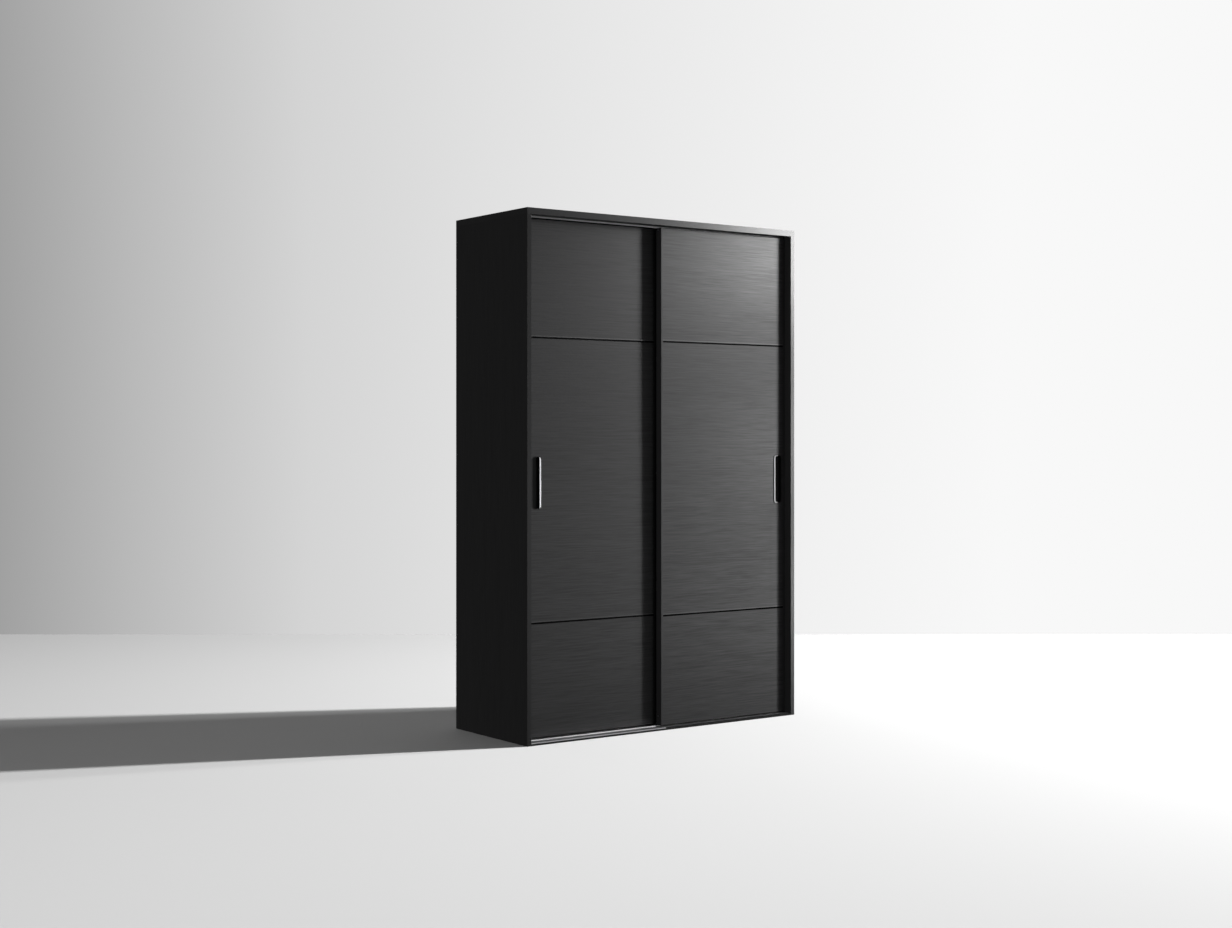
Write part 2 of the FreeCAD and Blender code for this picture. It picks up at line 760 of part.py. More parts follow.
def flush_pull(side, x, face_y):
    """The cup that is let into the door panel, and the grip over its inner edge.

    The left grip is a straight bar; the right one has a short hook at each end.
    """
    low = "handle_centre - handle_length / 2"
    cup = new_body(f"{side}_door_handle_cup", x, face_y, low)
    rim = rounded_slot(
        sketch_on(cup, "XZ_Plane", "rim_thickness"), "0 - handle_rim", "0 - handle_rim",
        "handle_width + 2 * handle_rim", "handle_length + 2 * handle_rim",
        "handle_radius + handle_rim")
    pad(cup, rim, "rim_thickness").Reversed = True
    shell = rounded_slot(sketch_on(cup, "XZ_Plane"), "0", "0", "handle_width",
                         "handle_length", "handle_radius")
    pad(cup, shell, "handle_depth").Reversed = True
    hollow = rounded_slot(
        sketch_on(cup, "XZ_Plane", "rim_thickness"), "handle_wall", "handle_wall",
        "handle_width - 2 * handle_wall", "handle_length - 2 * handle_wall",
        "handle_radius - handle_wall")
    pocket(cup, hollow, "handle_depth + rim_thickness - handle_wall")

    # a flat ring, cut down to the bar and what is left of its ends
    grip_y = f"{face_y} - rim_thickness - grip_proud"
    grip = new_body(f"{side}_door_handle_grip", x, grip_y, low)
    bar = rounded_slot(sketch_on(grip, "XZ_Plane"), "0", "0", "handle_width",
                       "handle_length", "handle_radius")
    pad(grip, bar, "grip_proud").Reversed = True
    towards_centre = side == "right"
    hollow_x = "grip_width" if towards_centre else "grip_width - handle_width"
    window = rounded_slot(
        sketch_on(grip, "XZ_Plane"), hollow_x, "grip_hook", "2 * handle_width - 2 * grip_width",
        "handle_length - 2 * grip_hook", "handle_radius - grip_hook")
    pocket(grip, window, "grip_proud")
    cut_x = "grip_reach" if towards_centre else "0 - handle_radius"
    reach = "grip_reach" if towards_centre else "grip_width"
    cut_width = f"handle_width - {reach} + handle_radius"
    ends = rectangle(sketch_on(grip, "XZ_Plane"), cut_x, "0 - handle_radius", cut_width,
                     "handle_length + 2 * handle_radius")
    pocket(grip, ends, "grip_proud")


def stile(side, edge, x, y):
    """A slotted upright; its web is on the door's outer edge."""
    wide = "stile_face"
    slot_back, rear = "rail_front", "stile_depth"
    behind = f"{slot_back} + stile_lip"
    section = [
        ("0", "0"), (wide, "0"), (wide, "stile_lip"), ("stile_web", "stile_lip"),
        ("stile_web", slot_back), (wide, slot_back), (wide, behind), ("stile_web", behind),
        ("stile_web", f"{rear} - stile_lip"), (wide, f"{rear} - stile_lip"), (wide, rear),
        ("0", rear),
    ]
    if edge == "right":
        section = [(f"stile_face - ({a})", b) for a, b in section]
    body = profile(f"{side}_door_{edge}_stile", "XY_Plane", x, y, "door_ground",
                   section, "door_height")
    # the part behind the panel is lower, to run under the top track's lips
    notch = rectangle(sketch_on(body, "XY_Plane", "door_height"), "0 - edge_play", behind,
                      f"{wide} + 2 * edge_play", rear)
    pocket(body, notch, "door_height - guide_step")
    # counterbored holes for the frame screws
    for height in (BOTTOM_SCREW, TOP_SCREW):
        role, inward = "YZ_Plane", edge == "left"
        offset = "0" if edge == "left" else "stile_face"
        sketch = sketch_on(body, role, offset)
        circle(sketch, "guide_offset", f"{height} - door_ground", "screw_head_radius + cup_play")
        pocket(body, sketch, "screw_head", inward)
        sketch = sketch_on(body, role, offset)
        circle(sketch, "guide_offset", f"{height} - door_ground", FRAME_HOLE)
        pocket(body, sketch, "stile_web", inward)
    return body


BOTTOM_SCREW = "door_ground + bottom_rail_height - rail_web / 2"
TOP_SCREW = "guide_top - rail_web / 2"
FRAME_HOLE = "frame_screw_radius + running_play"


def end_holes(body, level):
    """Screw holes in both ends of a rail's thick web."""
    bite = "frame_screw_length - stile_face + screw_run_out"
    for offset, inward in (("0", True), ("insert_length", False)):
        sketch = sketch_on(body, "YZ_Plane", offset)
        circle(sketch, "guide_offset", level, FRAME_HOLE)
        pocket(body, sketch, bite, inward)


def door(side, x, y):
    """One sliding door, with its low front left corner at x, y."""
    name = f"{side}_door"
    insert_x = f"{x} + stile_face"
    stile(side, "left", x, y)
    stile(side, "right", f"{x} + door_width - stile_face", y)

    front_leg, inside = "rail_front", "rail_front + rail_wall"
    rear_inside = f"{inside} + channel_width"
    rear = f"{rear_inside} + rail_wall"
    foot_front = "stile_lip"

    high = "bottom_rail_height"
    bottom = profile(f"{name}_bottom_rail", "YZ_Plane", insert_x, y, "door_ground", [
        (foot_front, "0"), (inside, "0"), (inside, f"{high} - rail_web"),
        (rear_inside, f"{high} - rail_web"), (rear_inside, "0"), (rear, "0"), (rear, high),
        (front_leg, high), (front_leg, "rail_foot"), (foot_front, "rail_foot"),
    ], "insert_length")
    end_holes(bottom, f"{high} - rail_web / 2")

    high = "top_rail_height"
    cap = "ceiling - door_top_gap - guide_top"
    top_rail = profile(f"{name}_top_rail", "YZ_Plane", insert_x, y, f"guide_top - {high}", [
        (front_leg, "0"), (inside, "0"), (inside, f"{high} - rail_web"),
        (rear_inside, f"{high} - rail_web"), (rear_inside, "0"), (rear, "0"), (rear, high),
        (f"{front_leg} + stile_lip", high), (f"{front_leg} + stile_lip", f"{high} + {cap}"),
        (foot_front, f"{high} + {cap}"), (foot_front, f"{high} + {cap} - rail_foot"),
        (front_leg, f"{high} + {cap} - rail_foot"),
    ], "insert_length")
    end_holes(top_rail, f"{high} - rail_web / 2")

    # dividers clasp the edges of the panels above and below them; in front each has a
    # flat bead, and below the bead its face slopes back to the lower panel
    half_back, half = "divider_back / 2", "divider_web / 2"
    rear_face = "rail_front + stile_lip"
    for level, height in DIVIDERS.items():
        profile(f"{name}_{level}_divider", "YZ_Plane", insert_x, y, height, [
            ("stile_lip - divider_edge", "0 - divider_drop"), ("stile_lip", "0 - divider_drop"),
            ("stile_lip", f"0 - {half}"), ("rail_front", f"0 - {half}"),
            ("rail_front", f"0 - {half_back}"), (rear_face, f"0 - {half_back}"),
            (rear_face, half_back), ("rail_front", half_back), ("rail_front", half),
            ("stile_lip", half), ("stile_lip", "bead_top"), ("0", "bead_top"),
            ("0", "bead_bottom"),
        ], "insert_length")

    panel_x, panel_y = f"{x} + panel_inset", f"{y} + stile_lip"
    levels = [
        ("lower", "panel_bottom", f"lower_divider_height - {half}"),
        ("middle", f"lower_divider_height + {half}", f"upper_divider_height - {half}"),
        ("upper", f"upper_divider_height + {half}", "panel_top"),
    ]
    handle_x = {
        "left": f"{x} + left_handle_inset",
        "right": f"{x} + door_width - right_handle_inset - handle_width",
    }[side]
    for level, low, top_edge in levels:
        size = ("panel_width", "door_panel", f"{top_edge} - ({low})")
        if level != "middle":
            named(brick(f"{name}_{level}_panel", panel_x, panel_y, low, size),
                  f"{name}_{level}_panel")
            continue
        middle_panel = board(f"{name}_{level}_panel", panel_x, panel_y, low, size)
        window = rounded_slot(
            sketch_on(middle_panel, "XZ_Plane"), f"{handle_x} - ({panel_x}) - cup_play",
            f"handle_centre - handle_length / 2 - ({low}) - cup_play",
            "handle_width + 2 * cup_play", "handle_length + 2 * cup_play",
            "handle_radius + cup_play")
        pocket(middle_panel, window, "door_panel")
    flush_pull(side, handle_x, panel_y)

    guide = f"{y} + guide_offset"
    rollers(side, x, guide)
    shoes, screws = [], []
    for centre in (f"{x} + roller_inset", f"{x} + door_width - roller_inset"):
        base = brick("shoe_base", f"{centre} - shoe_length / 2", f"{guide} - channel_width / 2",
                     "guide_top", ("shoe_length", "channel_width", "shoe_base"))
        tongue = brick("shoe_tongue", f"{centre} - shoe_length / 2",
                       f"{guide} - lip_spacing / 2 + shoe_play", "guide_top",
                       ("shoe_length", "lip_spacing - 2 * shoe_play",
                        "ceiling - track_base - guide_top - shoe_play"))
        shoe = doc.addObject("Part::Fuse", "shoe")
        shoe.Base, shoe.Tool = base, tongue
        shoes.append(shoe)
    group(f"{name}_guide_shoes", shoes)
    for edge, axis, way in ((x, "+X", "+"), (f"{x} + door_width", "-X", "-")):
        for height in (BOTTOM_SCREW, TOP_SCREW):
            screws.append(screw("frame_screw", axis, f"{edge} {way} screw_head", guide, height,
                                "frame_screw_radius", "frame_screw_length - screw_head"))
    group(f"{name}_frame_screws", screws)


def rollers(side, x, guide):
    """Two brackets with their axles, and two grooved wheels on the track's rib."""
    name = f"{side}_door"
    centres = {
        "left": f"{x} + roller_inset", "right": f"{x} + door_width - roller_inset"
    }
    brackets_made, axles = [], []
    for edge, centre in centres.items():
        shell = brick("bracket_shell", f"{centre} - bracket_length / 2",
                      f"{guide} - bracket_width / 2", "bracket_ground",
                      ("bracket_length", "bracket_width", "bracket_top - bracket_ground"))
        gap = brick("bracket_gap", f"{centre} - bracket_length / 2 - cut_past",
                    f"{guide} - bracket_width / 2 + bracket_wall", "bracket_ground - cut_past",
                    ("bracket_length + 2 * cut_past", "bracket_width - 2 * bracket_wall",
                     "bracket_top - bracket_ground - bracket_wall + cut_past"))
        channel = doc.addObject("Part::Cut", "channel")
        channel.Base, channel.Tool = shell, gap
        bore = rod("axle_bore", "+Y", centre, f"{guide} - bracket_width / 2 - cut_past",
                   "axle_height", "axle_radius + running_play",
                   "bracket_width + 2 * cut_past")
        bracket_made = doc.addObject("Part::Cut", "roller_bracket")
        bracket_made.Base, bracket_made.Tool = channel, bore
        brackets_made.append(bracket_made)
        axles.append(rod("axle", "+Y", centre, f"{guide} - bracket_width / 2", "axle_height",
                         "axle_radius", "bracket_width"))
        wheel(f"{name}_{edge}_wheel", centre, guide)
    group(f"{name}_roller_brackets", brackets_made)
    group(f"{name}_roller_axles", axles)


def wheel(label, centre, guide):
    """A nylon wheel turned about its axle, with a groove that sits on the rib."""
    body = new_body(label, centre, guide, "axle_height")
    bore = "axle_radius + running_play"
    half_hub, half_tread = "hub_width / 2", "hub_width / 2 - tread_inset"
    half_groove = "rib_width / 2 + groove_play"
    hub = "axle_radius + hub_wall"
    section = [
        (bore, f"0 - {half_hub}"), (hub, f"0 - {half_hub}"), (hub, f"0 - ({half_tread})"),
        ("wheel_radius", f"0 - ({half_tread})"), ("wheel_radius", f"0 - ({half_groove})"),
        ("wheel_running_radius", f"0 - ({half_groove})"),
        ("wheel_running_radius", half_groove),
        ("wheel_radius", half_groove), ("wheel_radius", half_tread), (hub, half_tread),
        (hub, half_hub), (bore, half_hub),
    ]
    sketch = polygon(sketch_on(body, "XY_Plane"), section)
    turned = body.newObject("PartDesign::Revolution", "Revolution")
    turned.Profile = sketch
    turned.ReferenceAxis = (sketch, ["V_Axis"])
    turned.Angle = 360


for side, spot in DOORS.items():
    door(side, spot["x"], spot["y"])

# ---------------------------------------------------------------- checks and files
doc.recompute()
for thing in doc.Objects:
    faults = [state for state in thing.State if state in ("Invalid", "Error")]
    if faults:
        raise RuntimeError(f"{thing.Label} did not build: {faults}")
for part in parts:
    if part.Shape.isNull() or not part.Shape.isValid():
        raise RuntimeError(f"{part.Label} has no valid shape")

os.makedirs("parts", exist_ok=True)
for part in parts:
    part.Shape.exportStep(f"parts/{part.Label}.step")
print(len(parts), "sub-parts written")
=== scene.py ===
import json
import logging
import math
from dataclasses import dataclass
from enum import Enum

import bmesh
import bpy
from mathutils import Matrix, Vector

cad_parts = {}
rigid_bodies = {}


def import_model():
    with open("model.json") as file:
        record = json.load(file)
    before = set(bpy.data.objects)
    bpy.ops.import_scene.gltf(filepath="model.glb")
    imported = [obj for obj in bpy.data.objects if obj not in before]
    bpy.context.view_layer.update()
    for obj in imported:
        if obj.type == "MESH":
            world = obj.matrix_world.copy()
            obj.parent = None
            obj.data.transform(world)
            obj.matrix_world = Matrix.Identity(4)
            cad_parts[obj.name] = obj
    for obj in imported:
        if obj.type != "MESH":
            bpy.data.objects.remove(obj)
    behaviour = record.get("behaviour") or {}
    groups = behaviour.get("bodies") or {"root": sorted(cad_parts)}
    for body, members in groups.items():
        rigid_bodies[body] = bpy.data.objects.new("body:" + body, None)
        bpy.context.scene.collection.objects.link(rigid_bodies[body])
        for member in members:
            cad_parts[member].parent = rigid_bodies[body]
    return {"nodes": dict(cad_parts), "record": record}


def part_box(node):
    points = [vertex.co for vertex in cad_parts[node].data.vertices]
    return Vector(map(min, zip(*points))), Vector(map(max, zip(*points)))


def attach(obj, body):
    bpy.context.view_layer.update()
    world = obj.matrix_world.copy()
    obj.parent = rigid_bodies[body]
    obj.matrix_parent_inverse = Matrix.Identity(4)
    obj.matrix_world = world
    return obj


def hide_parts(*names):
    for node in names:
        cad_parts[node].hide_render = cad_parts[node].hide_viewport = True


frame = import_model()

LOG = logging.getLogger("wardrobe")
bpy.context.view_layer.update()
MM = 0.001
SHARP_ANGLE = math.radians(40)  # an edge that turns more than this is rounded
FLAT_ANGLE = math.radians(1)  # faces that turn less than this are one flat face
WELD_DISTANCE = 0.001 * MM  # corners closer than this are one corner
FACING_FRONT = -0.99  # a face whose normal's Y is below this looks at the room
FLAT_FACE_WEIGHT = 100  # the largest there is, so flat faces decide the shading
NOISE_LOW, NOISE_HIGH = 0.3, 0.7  # nearly all values of a noise lie between these
NOISE_MIDDLE = (0.5, 0.5, 0.5)  # the average of a noise's three colours


# ------------------------------------------------------------------ shading tools
def linear(sheet_colour: str) -> tuple[float, float, float, float]:
    """Turn an sRGB hex colour into Blender's linear colour.

    Args:
        sheet_colour: Colour such as "#1c1c1e".

    Returns:
        Red, green, blue and alpha, linear.
    """
    values = [int(sheet_colour[at:at + 2], 16) / 255 for at in (1, 3, 5)]
    spread = [v / 12.92 if v <= 0.04045 else ((v + 0.055) / 1.055) ** 2.4 for v in values]
    return (*spread, 1.0)


def add_node(tree: bpy.types.NodeTree, kind: str,
             settings: dict[str | int, object] | None = None,
             links: dict[str | int, bpy.types.NodeSocket] | None = None) -> bpy.types.Node:
    """Add a shader node with its settings and links.

    Args:
        tree: The node tree to add to.
        kind: The node's type, without the ShaderNode prefix.
        settings: Attributes, or inputs by name or number, and their values.
        links: Inputs by name or number, and the output sockets that feed them.

    Returns:
        The new node.
    """
    made = tree.nodes.new("ShaderNode" + kind)
    for key, value in (settings or {}).items():
        if isinstance(key, str) and hasattr(made, key):
            setattr(made, key, value)
        else:
            made.inputs[key].default_value = value
    for key, source in (links or {}).items():
        tree.links.new(source, made.inputs[key])
    return made


class Run(Enum):
    """The axis along which a grain or a brushed line runs."""

    ACROSS = (1, 0, 0)
    BACK = (0, 1, 0)
    UP = (0, 0, 1)

    def scale(self, long_mm: float, short_mm: float) -> tuple[float, float, float]:
        """Pattern scale per metre: long along the run, short across it."""
        long_scale, short_scale = 1 / (long_mm * MM), 1 / (short_mm * MM)
        return tuple(long_scale if along else short_scale for along in self.value)


def surface(name: str, colour: str, roughness: float, metallic: float = 0.0
            ) -> tuple[bpy.types.Material, bpy.types.NodeTree, bpy.types.Node]:
    """Start a material with one Principled shader.

    Args:
        name: The material's name.
        colour: sRGB hex base colour.
        roughness: Surface roughness.
        metallic: One for bare metal, zero otherwise.

    Returns:
        The material, its node tree and its Principled node.
    """
    material = bpy.data.materials.new(name)
    material.use_nodes = True
    tree = material.node_tree
    shader = tree.nodes["Principled BSDF"]
    shader.inputs["Base Color"].default_value = linear(colour)
    shader.inputs["Roughness"].default_value = roughness
    shader.inputs["Metallic"].default_value = metallic
    return material, tree, shader


@dataclass(frozen=True)
class WoodGrainLaminate:
    """Melamine-faced board, pressed between steel plates with a fine open-pore grain.

    The pores run one way, so the satin face shows fine streaks that shift in gloss. A real
    pore is about 0.5 mm wide, which is too fine to show on a board two metres tall, so it
    is drawn 3.4 mm wide.
    """

    name: str
    colour: str
    streak_colour: str
    run: Run
    roughness: float = 0.5
    roughness_swing: float = 0.05
    pore_mm: float = 3.4
    pore_length_mm: float = 130.0
    band_mm: float = 30.0
    band_length_mm: float = 900.0
    band_share: float = 0.2
    wave_mm: float = 9.0
    relief_mm: float = 0.2
    relief_strength: float = 0.5
    dark_below: float = 0.36
    pale_above: float = 0.66

    def build(self) -> bpy.types.Material:
        """Make the material.

        Returns:
            The material.
        """
        material, tree, shader = surface(self.name, self.colour, self.roughness)
        place = add_node(tree, "TexCoord").outputs["Object"]
        # slow waves, half a band long and six bands wide, bend the pores as growth rings do
        wave_scale = self.run.scale(self.band_length_mm / 2, self.band_mm * 6)
        wave_place = add_node(tree, "Mapping", {"Scale": wave_scale}, {"Vector": place})
        wave = add_node(tree, "TexNoise", {"Scale": 1.0, "Detail": 1.0},
                        {"Vector": wave_place.outputs[0]})
        centred = add_node(tree, "VectorMath", {"operation": "SUBTRACT", 1: NOISE_MIDDLE},
                           {0: wave.outputs["Color"]})
        bend = add_node(tree, "VectorMath", {"operation": "SCALE", "Scale": self.wave_mm * MM},
                        {0: centred.outputs[0]})
        bent = add_node(tree, "VectorMath", {"operation": "ADD"},
                        {0: place, 1: bend.outputs[0]})
        pore_place = add_node(
            tree, "Mapping", {"Scale": self.run.scale(self.pore_length_mm, self.pore_mm)},
            {"Vector": bent.outputs[0]})
        pores = add_node(tree, "TexNoise", {"Scale": 1.0, "Detail": 3.0, "Roughness": 0.6},
                         {"Vector": pore_place.outputs[0]})
        band_place = add_node(
            tree, "Mapping", {"Scale": self.run.scale(self.band_length_mm, self.band_mm)},
            {"Vector": bent.outputs[0]})
        bands = add_node(tree, "TexNoise", {"Scale": 1.0, "Detail": 3.0},
                         {"Vector": band_place.outputs[0]})
        mixed = add_node(tree, "Mix", {"data_type": "FLOAT", 0: self.band_share},
                         {2: pores.outputs["Fac"], 3: bands.outputs["Fac"]})
        ramp = add_node(tree, "ValToRGB", {}, {"Fac": mixed.outputs[0]})
        ramp.color_ramp.elements[0].position = self.dark_below
        ramp.color_ramp.elements[0].color = linear(self.colour)
        ramp.color_ramp.elements[1].position = self.pale_above
        ramp.color_ramp.elements[1].color = linear(self.streak_colour)
        tree.links.new(ramp.outputs["Color"], shader.inputs["Base Color"])
        rough = add_node(
            tree, "MapRange", {"From Min": NOISE_LOW, "From Max": NOISE_HIGH,
                               "To Min": self.roughness + self.roughness_swing,
                               "To Max": self.roughness - self.roughness_swing},
            {"Value": mixed.outputs[0]})
        tree.links.new(rough.outputs[0], shader.inputs["Roughness"])
        bump = add_node(
            tree, "Bump", {"Strength": self.relief_strength, "Distance": self.relief_mm * MM},
            {"Height": pores.outputs["Fac"]})
        tree.links.new(bump.outputs[0], shader.inputs["Normal"])
        return material


@dataclass(frozen=True)
class DrawnMetal:
    """Metal that was extruded, drawn or brushed, with fine lines along its length.

    The lines stretch a highlight across the run. A real line is under 0.1 mm wide, which is
    too fine to show, so it is drawn 0.8 mm wide.
    """

    name: str
    colour: str
    run: Run
    roughness: float = 0.3
    roughness_swing: float = 0.08
    metallic: float = 1.0
    gloss: float = 0.5
    line_mm: float = 0.8
    line_length_mm: float = 240.0
    relief_mm: float = 0.03
    relief_strength: float = 0.4

    def build(self) -> bpy.types.Material:
        """Make the material.

        Returns:
            The material.
        """
        material, tree, shader = surface(self.name, self.colour, self.roughness, self.metallic)
        shader.inputs["Specular IOR Level"].default_value = self.gloss
        place = add_node(tree, "TexCoord").outputs["Object"]
        mapped = add_node(
            tree, "Mapping", {"Scale": self.run.scale(self.line_length_mm, self.line_mm)},
            {"Vector": place})
        lines = add_node(tree, "TexNoise", {"Scale": 1.0, "Detail": 4.0},
                         {"Vector": mapped.outputs[0]})
        rough = add_node(
            tree, "MapRange", {"From Min": NOISE_LOW, "From Max": NOISE_HIGH,
                               "To Min": self.roughness - self.roughness_swing,
                               "To Max": self.roughness + self.roughness_swing},
            {"Value": lines.outputs["Fac"]})
        tree.links.new(rough.outputs[0], shader.inputs["Roughness"])
        bump = add_node(
            tree, "Bump", {"Strength": self.relief_strength, "Distance": self.relief_mm * MM},
            {"Height": lines.outputs["Fac"]})
        tree.links.new(bump.outputs[0], shader.inputs["Normal"])
        return material


@dataclass(frozen=True)
class MouldedPlastic:
    """Plastic or rubber from a spark-eroded mould, which leaves a fine even grit.

    The grit breaks a highlight into an even satin. A real grain is about 0.1 mm, which is
    too fine to show, so it is drawn 1.1 mm wide.
    """

    name: str
    colour: str
    roughness: float = 0.5
    roughness_swing: float = 0.08
    grit_mm: float = 1.1
    relief_mm: float = 0.05
    relief_strength: float = 0.4

    def build(self) -> bpy.types.Material:
        """Make the material.

        Returns:
            The material.
        """
        material, tree, shader = surface(self.name, self.colour, self.roughness)
        place = add_node(tree, "TexCoord").outputs["Object"]
        grit = add_node(tree, "TexNoise", {"Scale": 1 / (self.grit_mm * MM), "Detail": 2.0},
                        {"Vector": place})
        rough = add_node(
            tree, "MapRange", {"To Min": self.roughness - self.roughness_swing,
                               "To Max": self.roughness + self.roughness_swing},
            {"Value": grit.outputs["Fac"]})
        tree.links.new(rough.outputs[0], shader.inputs["Roughness"])
        bump = add_node(
            tree, "Bump", {"Strength": self.relief_strength, "Distance": self.relief_mm * MM},
            {"Height": grit.outputs["Fac"]})
        tree.links.new(bump.outputs[0], shader.inputs["Normal"])
        return material


@dataclass(frozen=True)
class PressedFibreboard:
    """Lacquered hardboard, pressed from wet fibre, with short tangled fibres in its face.

    The fibres give a dull, faintly cloudy sheet.
    """

    name: str
    colour: str
    fibre_colour: str
    roughness: float = 0.62
    fibre_mm: float = 3.0
    relief_mm: float = 0.1
    relief_strength: float = 0.4
    dark_below: float = 0.4
    pale_above: float = 0.7

    def build(self) -> bpy.types.Material:
        """Make the material.

        Returns:
            The material.
        """
        material, tree, shader = surface(self.name, self.colour, self.roughness)
        place = add_node(tree, "TexCoord").outputs["Object"]
        fibres = add_node(
            tree, "TexNoise", {"Scale": 1 / (self.fibre_mm * MM), "Detail": 6.0,
                               "Roughness": 0.7, "Distortion": 1.5}, {"Vector": place})
        ramp = add_node(tree, "ValToRGB", {}, {"Fac": fibres.outputs["Fac"]})
        ramp.color_ramp.elements[0].position = self.dark_below
        ramp.color_ramp.elements[0].color = linear(self.colour)
        ramp.color_ramp.elements[1].position = self.pale_above
        ramp.color_ramp.elements[1].color = linear(self.fibre_colour)
        tree.links.new(ramp.outputs["Color"], shader.inputs["Base Color"])
        bump = add_node(
            tree, "Bump", {"Strength": self.relief_strength, "Distance": self.relief_mm * MM},
            {"Height": fibres.outputs["Fac"]})
        tree.links.new(bump.outputs[0], shader.inputs["Normal"])
        return material


class Finishes:
    """Every finish on the wardrobe, each built once."""

    def __init__(self) -> None:
        """Build the materials."""
        # melamine-faced boards, pressed: near black and satin, and the grain shows only
        # where light grazes it
        self.side = WoodGrainLaminate(
            "side_black_laminate", "#29292a", "#313132", Run.UP, roughness=0.55).build()
        self.top = WoodGrainLaminate(
            "top_black_woodgrain_laminate", "#2a2a2b", "#343435", Run.ACROSS).build()
        self.door = WoodGrainLaminate(
            "door_black_woodgrain_laminate", "#222223", "#3c3c3d", Run.ACROSS,
            roughness=0.42).build()
        self.inside = WoodGrainLaminate(
            "inside_black_woodgrain_laminate", "#1e1e20", "#2c2c2e", Run.ACROSS,
            roughness=0.5).build()
        self.upright_inside = WoodGrainLaminate(
            "upright_black_woodgrain_laminate", "#1e1e20", "#2c2c2e", Run.UP,
            roughness=0.5).build()
        self.plinth = WoodGrainLaminate(
            "plinth_black_edged_board", "#0d0d0e", "#141415", Run.ACROSS, roughness=0.6).build()
        # turned beech: pale, close-grained and matt
        self.beech = WoodGrainLaminate(
            "turned_beech_dowel", "#c49a6c", "#a87f54", Run.ACROSS, roughness=0.6,
            pore_mm=0.8, pore_length_mm=12, band_mm=4, band_length_mm=40).build()
        # lacquered hardboard: dull, dark and faintly cloudy
        self.back = PressedFibreboard("black_lacquered_hardboard", "#161617", "#212123").build()
        # black anodised aluminium, extruded: the dyed oxide film hides the metal, so the
        # profiles aren't metallic. The uprights are satin; the bars are dull and near black, a
        # painted shade, and the fronts of their beads are lighter, a painted highlight
        self.frame = DrawnMetal(
            "black_anodised_extrusion", "#2e2e2f", Run.UP, roughness=0.4, metallic=0.0).build()
        # near black: the painted shade on the door bars and the head track
        self.cross_frame_painted_shade = DrawnMetal(
            "black_anodised_cross_extrusion_painted_shade", "#040405", Run.ACROSS, roughness=0.6,
            metallic=0.0, gloss=0.05).build()
        # lighter and glossy: the painted highlight on the fronts of the bar beads
        self.painted_highlight = DrawnMetal(
            "black_anodised_painted_highlight", "#383839", Run.ACROSS, roughness=0.4, metallic=0.0,
            gloss=0.9).build()
        # bare metals, drawn, brushed or plated: a matt pale track, a grip with a long soft
        # highlight, a tube that mirrors and dull grey zinc
        # the pale track metal also paints a highlight on the head track's foremost lip
        self.track = DrawnMetal(
            "satin_anodised_aluminium_track", "#dededf", Run.ACROSS, roughness=0.5).build()
        self.grip = DrawnMetal(
            "satin_chromed_grip", "#c9c9cb", Run.UP, roughness=0.34, line_length_mm=60).build()
        self.chrome = DrawnMetal(
            "polished_chrome_tube", "#dcdcde", Run.ACROSS, roughness=0.1, roughness_swing=0.03,
            relief_mm=0.01).build()
        self.zinc = DrawnMetal(
            "zinc_plated_steel", "#b4b6ba", Run.BACK, roughness=0.36, line_length_mm=12).build()
        # ABS, nylon, rubber and PVC, moulded or extruded: a smooth satin edge band, a matt
        # cup, waxy nylon wheels and shoes, dead-matt rubber and strip
        self.band = MouldedPlastic(
            "black_satin_abs_edge_band", "#2a2a2b", 0.34, relief_mm=0.004).build()
        self.cup = MouldedPlastic("black_abs_moulded_cup", "#0b0b0c", 0.5).build()
        self.nylon = MouldedPlastic("turned_white_nylon", "#d8d5cb", 0.45).build()
        self.shoe = MouldedPlastic("black_nylon_shoe", "#161617", 0.45).build()
        self.rubber = MouldedPlastic("black_soft_rubber", "#101011", 0.75).build()
        # the black strip also paints the shade over the lower track's lip in front of the right
        # door
        self.strip = MouldedPlastic("black_extruded_pvc_strip_and_painted_shade", "#0a0a0b", 0.6).build()


# ------------------------------------------------------------------ mesh tools
def dress(piece: bpy.types.Object, material: bpy.types.Material) -> None:
    """Give a piece one material."""
    piece.data.materials.clear()
    piece.data.materials.append(material)


def carry(piece: bpy.types.Object, node: str) -> bpy.types.Object:
    """Let a piece stand for a frame node, on that node's body.

    Args:
        piece: The new piece.
        node: The node that it stands for.

    Returns:
        The piece.
    """
    bodies = frame["record"]["behaviour"]["bodies"]
    body = next(name for name, nodes in bodies.items() if node in nodes)
    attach(piece, body)
    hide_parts(node)
    LOG.info("%s stands for %s on %s", piece.name, node, body)
    return piece


def piece_from(name: str, corners: list[tuple[float, float, float]],
               faces: list[tuple[int, ...]],
               material: bpy.types.Material) -> bpy.types.Object:
    """Make a new mesh piece.

    Args:
        name: The piece's name.
        corners: Its corners in metres.
        faces: Its faces as rows of corner numbers.
        material: Its finish.

    Returns:
        The new piece.
    """
    mesh = bpy.data.meshes.new(name)
    mesh.from_pydata(corners, [], faces)
    work = bmesh.new()
    work.from_mesh(mesh)
    bmesh.ops.recalc_face_normals(work, faces=work.faces)
    for face in work.faces:
        face.smooth = True
    work.to_mesh(mesh)
    work.free()
    piece = bpy.data.objects.new(name, mesh)
    bpy.context.scene.collection.objects.link(piece)
    dress(piece, material)
    LOG.info("%s is a piece of its own", name)
    return piece


def round_edges(piece: bpy.types.Object, edge_mm: float, rings: int) -> None:
    """Round a piece's sharp edges and keep its flat faces flat.

    Args:
        piece: The piece.
        edge_mm: Width of the rounding.
        rings: Number of segments in the rounding.
    """
    rounding = piece.modifiers.new("rounded_edges", "BEVEL")
    rounding.width = edge_mm * MM
    rounding.segments = rings
    rounding.limit_method = "ANGLE"
    rounding.angle_limit = SHARP_ANGLE
    rounding.use_clamp_overlap = True
    shading = piece.modifiers.new("flat_faces_stay_flat", "WEIGHTED_NORMAL")
    shading.weight = FLAT_FACE_WEIGHT


